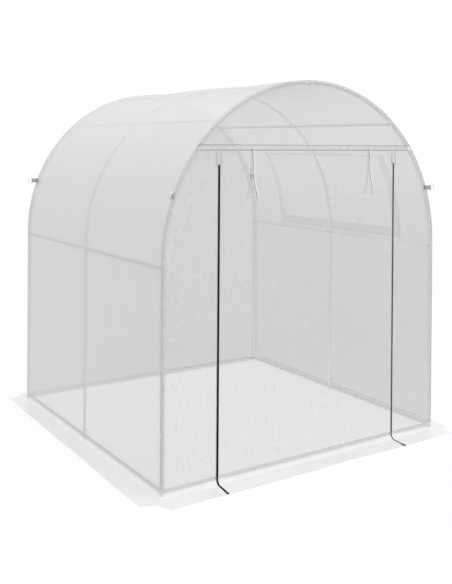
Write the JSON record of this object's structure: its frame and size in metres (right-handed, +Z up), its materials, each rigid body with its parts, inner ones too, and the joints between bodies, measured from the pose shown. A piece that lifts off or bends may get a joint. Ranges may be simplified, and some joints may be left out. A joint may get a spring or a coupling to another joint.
{
  "type": "polytunnel greenhouse",
  "caption": "Walk-in polytunnel with a steel hoop frame, translucent film cover, zipped roll-up door, side window flap, guy rings and ground skirts.",
  "frame": {"origin": "on the ground at the middle of the plan", "axes": "+Z up, -Y towards the door, +X to the right seen from in front of the door"},
  "size_m": [2.0726, 2.0726, 2.0013],
  "materials": {
    "galvanised_tube": "galvanised, satin",
    "cover_film": "translucent film",
    "zip": "matt moulded coil on woven tape",
    "tie_tape": "woven tape",
    "webbing": "woven webbing",
    "guy_ring": "smooth white"
  },
  "bodies": {
    "root": {"front_base_rail": "galvanised_tube", "front_gable_left": "cover_film", "front_gable_right": "cover_film", "front_gable_top": "cover_film", "front_hoop_arch": "galvanised_tube", "front_hoop_legs": "galvanised_tube", "front_skirt": "cover_film", "guy_rings": "guy_ring", "guy_tabs": "webbing", "header_sleeve": "cover_film", "header_tube": "galvanised_tube", "left_base_rail": "galvanised_tube", "left_crown_film": "cover_film", "left_door_ties": "tie_tape", "left_haunch_film": "cover_film", "left_shoulder_film": "cover_film", "left_side_purlin": "galvanised_tube", "left_skirt": "cover_film", "left_upper_purlin": "galvanised_tube", "left_wall_film": "cover_film", "left_zip": "zip", "middle_hoop_arch": "galvanised_tube", "middle_hoop_legs": "galvanised_tube", "rear_base_rail": "galvanised_tube", "rear_gable": "cover_film", "rear_hoop_arch": "galvanised_tube", "rear_hoop_legs": "galvanised_tube", "rear_skirt": "cover_film", "right_base_rail": "galvanised_tube", "right_crown_film": "cover_film", "right_door_ties": "tie_tape", "right_haunch_film": "cover_film", "right_shoulder_film": "cover_film", "right_side_purlin": "galvanised_tube", "right_skirt": "cover_film", "right_upper_purlin": "galvanised_tube", "right_wall_film": "cover_film", "right_zip": "zip", "roll_up_door": "cover_film", "window_flap": "cover_film", "zip_sliders": "zip"}
  },
  "joints": []
}
